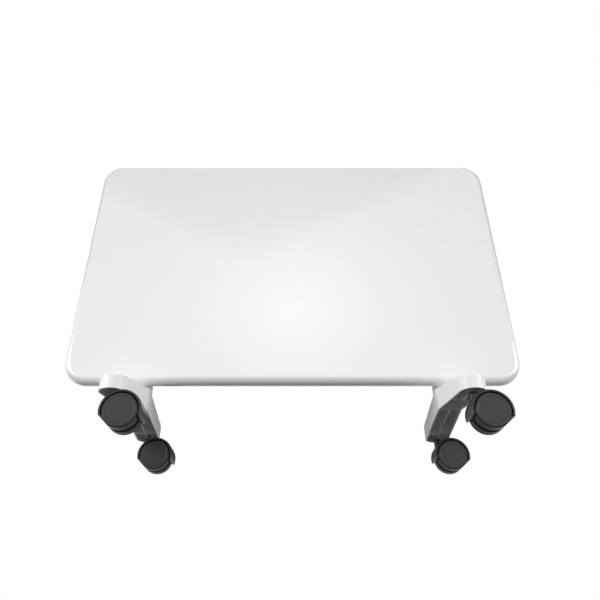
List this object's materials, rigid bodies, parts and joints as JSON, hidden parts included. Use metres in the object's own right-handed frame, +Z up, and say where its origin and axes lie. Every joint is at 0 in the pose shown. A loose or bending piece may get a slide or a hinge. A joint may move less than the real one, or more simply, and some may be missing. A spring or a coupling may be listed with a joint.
{
  "type": "convector heater",
  "caption": "Flat-panel electric convector heater on moulded feet with twin-wheel swivel casters, and a thermostat knob and rocker switch on its side.",
  "frame": {"origin": "on the floor, midway between the caster stems from left to right and from front to rear", "axes": "+Z up, the front panel faces -Y, and +X is on the right of someone who faces the front panel"},
  "size_m": [0.64, 0.2359, 0.486],
  "materials": {
    "panel_enamel": "gloss white enamel on pressed steel",
    "casing_enamel": "satin white powder coat on folded steel",
    "leg_moulding": "white moulded polypropylene",
    "caster_nylon": "charcoal moulded nylon",
    "control_plastic": "dark grey moulded plastic",
    "knob_plastic": "white moulded plastic",
    "phenolic": "pale moulded phenolic",
    "steatite": "unglazed steatite ceramic",
    "bright_steel": "bright plated steel",
    "zinc_sheet": "galvanised steel sheet",
    "fin_aluminium": "extruded aluminium",
    "wire_silicone": "silicone wire cover"
  },
  "bodies": {
    "heater": {"front_panel": "panel_enamel", "rear_casing": "casing_enamel", "outlet_grille": "casing_enamel", "panel_bracket_left": "zinc_sheet", "panel_bracket_right": "zinc_sheet", "casing_screw_1": "bright_steel", "casing_screw_2": "bright_steel", "casing_screw_3": "bright_steel", "casing_screw_4": "bright_steel", "leg_screw_1": "bright_steel", "leg_screw_2": "bright_steel", "leg_screw_3": "bright_steel", "leg_screw_4": "bright_steel", "element_rod": "bright_steel", "element_fins": "fin_aluminium", "element_bracket_left": "zinc_sheet", "element_bracket_right": "zinc_sheet", "element_bush_left": "steatite", "element_bush_right": "steatite", "heat_shield": "zinc_sheet", "overheat_cutout": "phenolic", "tilt_switch": "control_plastic", "terminal_block": "phenolic", "cord_gland": "control_plastic", "control_bezel": "control_plastic", "thermostat_body": "phenolic", "switch_housing": "control_plastic", "wire_supply": "wire_silicone", "wire_link": "wire_silicone", "wire_element_right": "wire_silicone", "wire_cutout": "wire_silicone", "wire_element_left": "wire_silicone", "leg_left": "leg_moulding", "leg_right": "leg_moulding", "stem_front_left": "bright_steel", "stem_front_right": "bright_steel", "stem_rear_left": "bright_steel", "stem_rear_right": "bright_steel"},
    "caster_front_left": {"hood_front_left": "caster_nylon", "axle_front_left": "bright_steel"},
    "caster_front_right": {"hood_front_right": "caster_nylon", "axle_front_right": "bright_steel"},
    "caster_rear_left": {"hood_rear_left": "caster_nylon", "axle_rear_left": "bright_steel"},
    "caster_rear_right": {"hood_rear_right": "caster_nylon", "axle_rear_right": "bright_steel"},
    "wheel_front_left_front": {"wheel_front_left_front": "caster_nylon"},
    "wheel_front_left_rear": {"wheel_front_left_rear": "caster_nylon"},
    "wheel_front_right_front": {"wheel_front_right_front": "caster_nylon"},
    "wheel_front_right_rear": {"wheel_front_right_rear": "caster_nylon"},
    "wheel_rear_left_front": {"wheel_rear_left_front": "caster_nylon"},
    "wheel_rear_left_rear": {"wheel_rear_left_rear": "caster_nylon"},
    "wheel_rear_right_front": {"wheel_rear_right_front": "caster_nylon"},
    "wheel_rear_right_rear": {"wheel_rear_right_rear": "caster_nylon"},
    "knob": {"thermostat_knob": "knob_plastic"},
    "rocker": {"switch_rocker": "control_plastic"}
  },
  "joints": [
    {"name": "swivel_front_left", "type": "hinge", "parent": "heater", "child": "caster_front_left", "pos_m": [-0.2245, -0.1005, 0.045], "axis": [0, 0, 1], "continuous": true},
    {"name": "swivel_front_right", "type": "hinge", "parent": "heater", "child": "caster_front_right", "pos_m": [0.2245, -0.1005, 0.045], "axis": [0, 0, 1], "continuous": true},
    {"name": "swivel_rear_left", "type": "hinge", "parent": "heater", "child": "caster_rear_left", "pos_m": [-0.2245, 0.1005, 0.045], "axis": [0, 0, 1], "continuous": true},
    {"name": "swivel_rear_right", "type": "hinge", "parent": "heater", "child": "caster_rear_right", "pos_m": [0.2245, 0.1005, 0.045], "axis": [0, 0, 1], "continuous": true},
    {"name": "roll_front_left_front", "type": "hinge", "parent": "caster_front_left", "child": "wheel_front_left_front", "pos_m": [-0.2077, -0.1005, 0.022], "axis": [0, 1, 0], "continuous": true},
    {"name": "roll_front_left_rear", "type": "hinge", "parent": "caster_front_left", "child": "wheel_front_left_rear", "pos_m": [-0.2077, -0.1005, 0.022], "axis": [0, 1, 0], "continuous": true},
    {"name": "roll_front_right_front", "type": "hinge", "parent": "caster_front_right", "child": "wheel_front_right_front", "pos_m": [0.2413, -0.1005, 0.022], "axis": [0, 1, 0], "continuous": true},
    {"name": "roll_front_right_rear", "type": "hinge", "parent": "caster_front_right", "child": "wheel_front_right_rear", "pos_m": [0.2413, -0.1005, 0.022], "axis": [0, 1, 0], "continuous": true},
    {"name": "roll_rear_left_front", "type": "hinge", "parent": "caster_rear_left", "child": "wheel_rear_left_front", "pos_m": [-0.2077, 0.1005, 0.022], "axis": [0, 1, 0], "continuous": true},
    {"name": "roll_rear_left_rear", "type": "hinge", "parent": "caster_rear_left", "child": "wheel_rear_left_rear", "pos_m": [-0.2077, 0.1005, 0.022], "axis": [0, 1, 0], "continuous": true},
    {"name": "roll_rear_right_front", "type": "hinge", "parent": "caster_rear_right", "child": "wheel_rear_right_front", "pos_m": [0.2413, 0.1005, 0.022], "axis": [0, 1, 0], "continuous": true},
    {"name": "roll_rear_right_rear", "type": "hinge", "parent": "caster_rear_right", "child": "wheel_rear_right_rear", "pos_m": [0.2413, 0.1005, 0.022], "axis": [0, 1, 0], "continuous": true},
    {"name": "thermostat_turn", "type": "hinge", "parent": "heater", "child": "knob", "pos_m": [0.3036, -0.006, 0.376], "axis": [1, 0, 0], "range_deg": [-135, 135]},
    {"name": "switch_rock", "type": "hinge", "parent": "heater", "child": "rocker", "pos_m": [0.3031, -0.006, 0.424], "axis": [0, 1, 0], "range_deg": [0, 18]}
  ]
}
